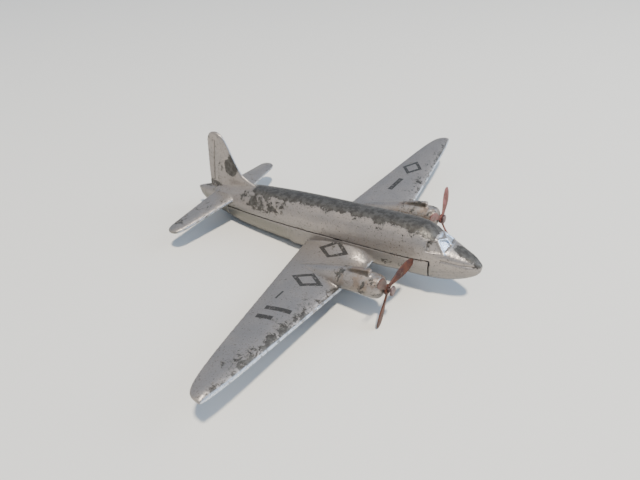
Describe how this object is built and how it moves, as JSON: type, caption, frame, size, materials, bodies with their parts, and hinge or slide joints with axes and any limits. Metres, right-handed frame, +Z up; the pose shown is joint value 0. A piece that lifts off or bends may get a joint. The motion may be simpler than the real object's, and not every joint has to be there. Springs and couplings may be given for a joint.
{
  "type": "toy airplane",
  "caption": "Die-cast toy airliner with low wings, a single fin, split fuselage castings and freely spinning three-bladed propellers on headed pins.",
  "frame": {"origin": "on the table under the middle of the toy's bounding box", "axes": "+X to the nose, +Y to the port wing tip, +Z up; the toy stands nose-high on the flat of its rear belly"},
  "size_m": [0.1024, 0.14, 0.0313],
  "materials": {
    "silver_paint": "worn satin silver paint",
    "red_paint": "worn satin red-brown paint",
    "dull_steel": "tarnished steel"
  },
  "bodies": {
    "airframe": {"upper_fuselage": "silver_paint", "lower_casting_with_wings": "silver_paint", "front_rivet": "dull_steel", "rear_rivet": "dull_steel", "starboard_propeller_pin": "dull_steel", "port_propeller_pin": "dull_steel"},
    "starboard_propeller": {"starboard_propeller": "red_paint"},
    "port_propeller": {"port_propeller": "red_paint"}
  },
  "joints": [
    {"name": "starboard_propeller_spin", "type": "hinge", "parent": "airframe", "child": "starboard_propeller", "pos_m": [0.0327, -0.0186, 0.01095], "axis": [0.9959, 0, 0.0906], "continuous": true},
    {"name": "port_propeller_spin", "type": "hinge", "parent": "airframe", "child": "port_propeller", "pos_m": [0.0327, 0.0186, 0.01095], "axis": [0.9959, 0, 0.0906], "continuous": true}
  ]
}
